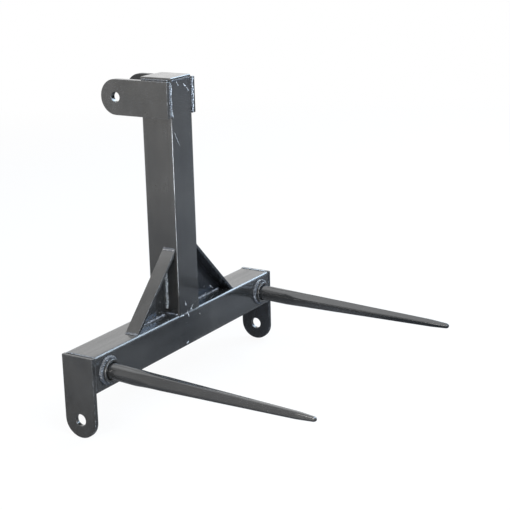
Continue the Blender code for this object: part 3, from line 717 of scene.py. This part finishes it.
def spear_section(ahead, length, word):
    """Half width and squareness of the spear this far in front of the sleeve."""
    if ahead < SPEAR_SQUARE_START:
        run = SPEAR_SQUARE_START - SPEAR_ROUND_LENGTH
        formed = max(0.0, (ahead - SPEAR_ROUND_LENGTH) / run)
        soft = formed * formed * (3 - 2 * formed)
        squareness = SPEAR_ROUNDNESS + (SPEAR_SQUARENESS - SPEAR_ROUNDNESS) * soft
        square_corner = SPEAR_SQUARE_WIDTH[word] / 2 * corner_share(SPEAR_SQUARENESS)
        corner = SPEAR_DIAMETER / 2 * (1 - soft) + square_corner * soft
        return corner / corner_share(squareness), squareness
    rows = (
        (SPEAR_SQUARE_START, SPEAR_SQUARE_WIDTH[word]),
        (length - SPEAR_POINT_LENGTH, SPEAR_POINT_WIDTH[word]),
        (length - SPEAR_NOSE_LENGTH, SPEAR_TIP_WIDTH),
    )
    for (start, wide), (end, narrow) in zip(rows, rows[1:]):
        if ahead <= end:
            return (wide + (narrow - wide) * (ahead - start) / (end - start)) / 2, SPEAR_SQUARENESS
    depth = min(1.0, (ahead - rows[-1][0]) / SPEAR_NOSE_LENGTH)
    half = SPEAR_TIP_WIDTH / 2 * (1 - depth * depth) ** 0.5
    return half, SPEAR_SQUARENESS + (SPEAR_ROUNDNESS - SPEAR_SQUARENESS) * depth


def forge_marks(point, seed):
    """How far the forged surface stands in or out at a point."""
    stretched = Vector((point.x, point.y * FORGE_ALONG_SHARE, point.z))
    offset = Vector((0, 0, seed))
    broad = noise.noise(stretched * FORGE_BROAD_SCALE + offset)
    fine = noise.noise(stretched * FORGE_FINE_SCALE + offset)
    return FORGE_DEPTH * (broad + FORGE_FINE_SHARE * fine)


def stud_rings(centre, tail, end):
    """Rings of the threaded stud and the tapered shank, from the stud's end to the sleeve's mouth."""
    stud = STUD_DIAMETER / 2
    turns = [2 * pi * j / SPEAR_SIDES for j in range(SPEAR_SIDES)]
    rings = []
    count = ceil((end - tail) / THREAD_STEP)
    for i in range(count + 1):
        y = end - (end - tail) * i / count
        ring = []
        for angle in turns:
            phase = (y / THREAD_PITCH + angle / (2 * pi)) % 1
            groove = THREAD_DEPTH * abs(2 * phase - 1)
            lead = max(0.0, STUD_POINT_BEVEL - (end - y))
            reach = min(stud - groove, stud - lead)
            ring.append((centre.x + reach * cos(angle), y, centre.z + reach * sin(angle)))
        rings.append(ring)
    y = tail - SHANK_END_INSET
    for reach in (stud, SPEAR_DIAMETER / 2 * SHANK_END_SHARE):
        rings.append([(centre.x + reach * cos(a), y, centre.z + reach * sin(a)) for a in turns])
    return rings


def make_spear(side, word, material):
    """One forging: threaded stud, tapered shank, and the spear as it leans, sags and turns."""
    low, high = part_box("spear_" + word)
    sleeve_low, sleeve_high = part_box("spear_sleeve_" + word)
    centre = (sleeve_low + sleeve_high) / 2
    length = sleeve_low.y - low.y
    roll = radians(SPEAR_ROLL_DEGREES[word])
    lean_x, lean_z = SPEAR_LEAN[word]
    nose = length - SPEAR_NOSE_LENGTH
    steps = ceil(nose / SPEAR_ROW_STEP)
    places = [nose * i / steps for i in range(steps + 1)]
    for i in range(1, SPEAR_NOSE_STEPS + 1):
        places.append(nose + SPEAR_NOSE_LENGTH * sin(i / (SPEAR_NOSE_STEPS + 1) * pi / 2))
    rings = stud_rings(centre, sleeve_high.y, high.y)
    for ahead in places:
        half, squareness = spear_section(ahead, length, word)
        share = ahead / length
        sag = SPEAR_SAG * min(1.0, ahead / SPEAR_ROUND_LENGTH)
        middle = Vector((centre.x + lean_x * share, sleeve_low.y - ahead, centre.z + lean_z * share - sag))
        ring = []
        for j in range(SPEAR_SIDES):
            angle = 2 * pi * j / SPEAR_SIDES
            power = abs(cos(angle)) ** squareness + abs(sin(angle)) ** squareness
            reach = half * power ** (-1 / squareness)
            outward = Vector((cos(angle + roll), 0, sin(angle + roll)))
            mark = forge_marks(middle + outward * reach, side) * min(1.0, 2 * half / SPEAR_TIP_WIDTH)
            ring.append(middle + outward * (reach + mark))
        rings.append(ring)
    add_piece("spear_forging_" + word, loft(rings), material, "black_paint", "spear_" + word)


def spatter_faces():
    """Each face beside a weld: its corner, along the weld, away from the weld and out of the face."""
    mast_low, mast_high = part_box("mast")
    beam_low, beam_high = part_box("crossbeam")
    deck = beam_high.z
    width = (mast_high.x - mast_low.x, 0, 0)
    depth = (0, mast_high.y - mast_low.y, 0)
    yield "mast_front", mast_low, width, UP, FORWARD
    yield "beam_front", (mast_low.x, beam_low.y, deck), width, DOWN, FORWARD
    for side, word in SIDES:
        web_low, web_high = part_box("gusset_web_" + word)
        heel = web_low.x if side > 0 else web_high.x
        edge = mast_low.x if side < 0 else mast_high.x
        rise = (0, 0, (web_high.z - web_low.z) * SPATTER_WEB_SHARE)
        reach = side * (web_high.x - web_low.x)
        outward = (side, 0, 0)
        yield "web_by_mast", (heel, web_low.y, web_low.z), rise, outward, FORWARD
        yield "web_by_beam", (heel, web_low.y, web_low.z), (reach * SPATTER_WEB_SHARE, 0, 0), UP, FORWARD
        yield "deck_by_web", (heel, web_low.y, deck), (reach, 0, 0), FORWARD, UP
        yield "deck_by_mast", (edge, mast_low.y, deck), depth, outward, UP


def add_spatter(material):
    """Beads of spatter on the faces beside the welds, denser close to them."""
    random = Random(SPATTER_SEED)
    bm = bmesh.new()
    for face, *ways in spatter_faces():
        corner, along, away, outward = (Vector(way) for way in ways)
        count, reach = SPATTER[face]
        for _ in range(count):
            size = SPATTER_SIZE * (SPATTER_LEAST_SHARE + random.random() ** 2)
            place = corner + along * random.random() + away * (reach * random.random() ** 2)
            place -= outward * size * SPATTER_SINK_SHARE
            bmesh.ops.create_icosphere(
                bm, subdivisions=SPATTER_SMOOTHNESS, radius=size, matrix=Matrix.Translation(place)
            )
    add_piece("weld_spatter", bm, material, "painted_weld")


def mark_places():
    """Start, end, way out of the face, width and wander of each pale mark."""
    cap_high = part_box("mast_cap")[1]
    mast_low, mast_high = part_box("mast")
    beam_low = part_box("crossbeam")[0]
    ear_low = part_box("top_link_ear_left")[0].z
    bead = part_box("top_link_ear_weld_left")[0].y  # front of the beads beside the top-link ears
    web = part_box("gusset_web_right")[0].y
    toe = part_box("gusset_web_right")[1].x
    corner_x, corner_y = mast_low.x + MARK_CORNER_INSET, mast_low.y + MARK_CORNER_INSET
    across = {"left": mast_low.x, "right": mast_high.x, "corner": corner_x, "toe": toe}
    up = {"cap": cap_high.z, "ear": ear_low, "deck": mast_low.z, "beam": beam_low.z}
    faces = {
        "front": (mast_low.y, FORWARD),
        "bead": (bead, FORWARD),
        "web": (web, FORWARD),
        "corner": (corner_y, (-1, -1, 0)),
    }
    for face, start, end, width, wander in MARKS:
        depth, outward = faces[face]
        ends = [Vector((across[x] + right, depth, up[z] + above)) for x, right, z, above in (start, end)]
        yield *ends, Vector(outward).normalized(), width, wander


def add_marks(material):
    """Thin pale marks, some of them painted highlights, each a narrow raised ribbon that wanders along its
    way.
    """
    bm = bmesh.new()
    for start, end, outward, width, wander in mark_places():
        across = (end - start).cross(outward).normalized()
        steps = max(MARK_STEPS, ceil((end - start).length / MARK_STEP))
        rough = min(1.0, wander / MARK_ROUGH_WANDER)
        lift = outward * MARK_LIFT
        rows = []
        for i in range(steps + 1):
            share = i / steps
            place = start.lerp(end, share)
            ragged = 1 - MARK_THIN_SHARE * rough
            ragged += MARK_RAGGED_SHARE * rough * noise.noise(place * LUMP_SCALE)
            full = min(1.0, MARK_END_SHARE + MARK_END_SWELL * share * (1 - share))
            half = width / 2 * full * max(MARK_LEAST_SHARE, ragged)
            middle = place + across * (wander * MARK_WANDER * noise.noise(place * MARK_WANDER_SCALE))
            points = (middle - across * half, middle + lift, middle + across * half, middle - lift)
            rows.append([bm.verts.new(point) for point in points])
        skin_rows(bm, rows)
    add_piece("pale_marks_and_highlights", bm, material, "black_paint")


def set_camera():
    """The photograph's camera."""
    data = bpy.data.cameras.new("photo_camera")
    data.lens = CAMERA_LENS
    camera = add_object("photo_camera", data)
    camera.location = CAMERA_PLACE
    level = (Vector(CAMERA_AIM) - Vector(CAMERA_PLACE)).to_track_quat("-Z", "Y")
    camera.rotation_euler = (level @ Quaternion(UP, radians(CAMERA_ROLL_DEGREES))).to_euler()
    bpy.context.scene.camera = camera


def add_stage(name, bm, material):
    """Links a bmesh as a part of the studio."""
    mesh = bpy.data.meshes.new(name)
    bm.to_mesh(mesh)
    bm.free()
    mesh.materials.append(material)
    item = add_object(name, mesh)
    return item


def disc(radius):
    """A flat round face about the origin, as a bmesh."""
    bm = bmesh.new()
    bmesh.ops.create_circle(bm, cap_ends=True, segments=DISC_SIDES, radius=radius)
    return bm


def bare_material(name):
    """A new material with its output alone, and its nodes."""
    material = bpy.data.materials.new(name)
    material.use_nodes = True
    nodes = Nodes(material.node_tree)
    nodes.tree.nodes.remove(nodes.tree.nodes["Principled BSDF"])
    return material, nodes


def add_floor():
    """Pale floor that takes the object's shadow near it and looks plain white further out."""
    bm = disc(FLOOR_RADIUS)
    bmesh.ops.translate(bm, verts=bm.verts, vec=(0, 0, FLOOR_Z))
    material, nodes = bare_material("pale_floor")
    matt = nodes.add("ShaderNodeBsdfDiffuse")
    matt.inputs["Color"].default_value = (*FLOOR_SHADE, 1)
    white = nodes.add("ShaderNodeEmission")
    white.inputs["Strength"].default_value = 1.0
    near = nodes.inward(nodes.scaled(nodes.place(), [1 / FLOOR_WHITE_RADIUS] * 3))
    share = nodes.ramp(near, (0.0, 1.0), (FLOOR_FADE_SHARE, FLOOR_WHITE_SHARE))
    share = nodes.math("MULTIPLY", nodes.seen_directly(), share)
    nodes.finish_with_mix("Material Output", share, matt, white)
    add_stage("pale_floor", bm, material)


def add_cards():
    """Tinted clear cards that only mirrored rays meet: painted shade, and a bluish painted reflection, in
    what the paint mirrors.
    """
    for count, (name, (x, y, z), radii, facing, tints) in enumerate(CARDS, start=1):
        material, nodes = bare_material(name)
        clear = nodes.add("ShaderNodeBsdfTransparent")
        nodes.link(nodes.ramp(nodes.inward(nodes.place()), *tints), clear.inputs["Color"])
        nodes.finish("Material Output", clear.outputs[0])
        card = add_stage(name, disc(1.0), material)
        card.location = (x, y, FLOOR_Z + z + CARD_LIFT * count)
        card.rotation_euler = Vector(facing).to_track_quat("Z", "Y").to_euler()
        card.scale = (*radii, 1)
        card.visible_camera = card.visible_diffuse = card.visible_shadow = False
        card.visible_transmission = card.visible_volume_scatter = False


def set_world():
    """Plain fill light for things, and a white room for what is seen directly or mirrored."""
    world = bpy.data.worlds.new("studio")
    bpy.context.scene.world = world
    world.use_nodes = True
    nodes = Nodes(world.node_tree)
    fill = world.node_tree.nodes["Background"]
    fill.inputs["Color"].default_value = (*FILL_COLOUR, 1)
    fill.inputs["Strength"].default_value = FILL_STRENGTH
    white = nodes.add("ShaderNodeBackground")
    white.inputs["Color"].default_value = (1, 1, 1, 1)
    nodes.finish_with_mix("World Output", nodes.seen_directly(), fill, white)


def set_lights():
    """Soft boxes of the listed brightness, seen by the paint but not by the camera."""
    for name, place, (width, height), glow, colour in SOFT_BOXES:
        data = bpy.data.lights.new(name, "AREA")
        data.shape = "RECTANGLE"
        data.size = width
        data.size_y = height
        data.energy = glow * pi * width * height
        data.color = colour
        lamp = add_object(name, data)
        lamp.location = place
        lamp.rotation_euler = (Vector(MIDDLE) - Vector(place)).to_track_quat("-Z", "Y").to_euler()
        lamp.visible_camera = False


def add_welds(side, word, weld, glint_weld):
    """The beads of one side."""
    out = (X, side)
    for stem, along, first, second, paint in (
        ("web_mast_weld_", Z, out, (Y, -1), glint_weld),
        ("web_beam_weld_", X, (Z, 1), (Y, -1), weld),
        ("mast_foot_weld_", Y, out, (Z, 1), weld),
        ("mast_cap_weld_", Y, out, (Z, 1), weld),
    ):
        corner_bead(stem + word, along, first, second, BEAD_SEEDS[stem] + side, paint)
    for stem, outward in (("sleeve_weld_front_", -1), ("sleeve_weld_rear_", 1)):
        ring_bead(stem + word, "spear_sleeve_" + word, outward, BEAD_SEEDS[stem] + side, weld)
    for stem in ("strip_beam_weld_", "strip_mast_weld_", "top_link_ear_weld_", "lower_ear_weld_"):
        lumpy(stem + word, SKIN_SEED + side, weld)


def make_object():
    """Every piece of the object, each in its own paint."""
    paints = {name: paint_material(name, **look) for name, look in PAINTS.items()}
    beam = paints["beam_black_paint"]
    weld = paints["weld_black_paint"]
    glint_weld = paints["glint_flecked_weld_paint"]
    zinc = zinc_material("bright_zinc_plate")
    refined("crossbeam", beam, "black_paint")
    for node in ("mast", "mast_cap"):
        refined(node, paints["mast_black_paint"], "black_paint")
    for node in ("mast_foot_weld_front", "mast_foot_weld_rear"):
        refined(node, beam, "painted_weld")
    for side, word in SIDES:
        refined("top_link_ear_" + word, paints[TOP_EAR_PAINTS[word]], "black_paint")
        for stem in ("lower_ear_", "gusset_web_", "gusset_strip_"):
            refined(stem + word, paints[PLATE_PAINTS[word]], "black_paint")
        refined("spear_sleeve_" + word, paints["plate_black_paint"], "black_paint")
        for stem in ("spear_washer_", "spear_nut_"):
            refined(stem + word, zinc, "zinc_plate")
        make_spear(side, word, paints["forged_black_paint"])
        add_welds(side, word, weld, glint_weld)
    for node in ("mast_cap_weld_front", "mast_cap_weld_rear"):
        lumpy(node, CAP_SKIN_SEED, weld)
    # the spatter takes the flecked weld paint, whose pale flecks are painted highlights
    add_spatter(glint_weld)
    add_marks(mark_and_highlight_material("pale_mark_and_highlight"))


make_object()
add_floor()
add_cards()
set_world()
set_lights()
set_camera()
bpy.context.scene.view_settings.view_transform = "Standard"
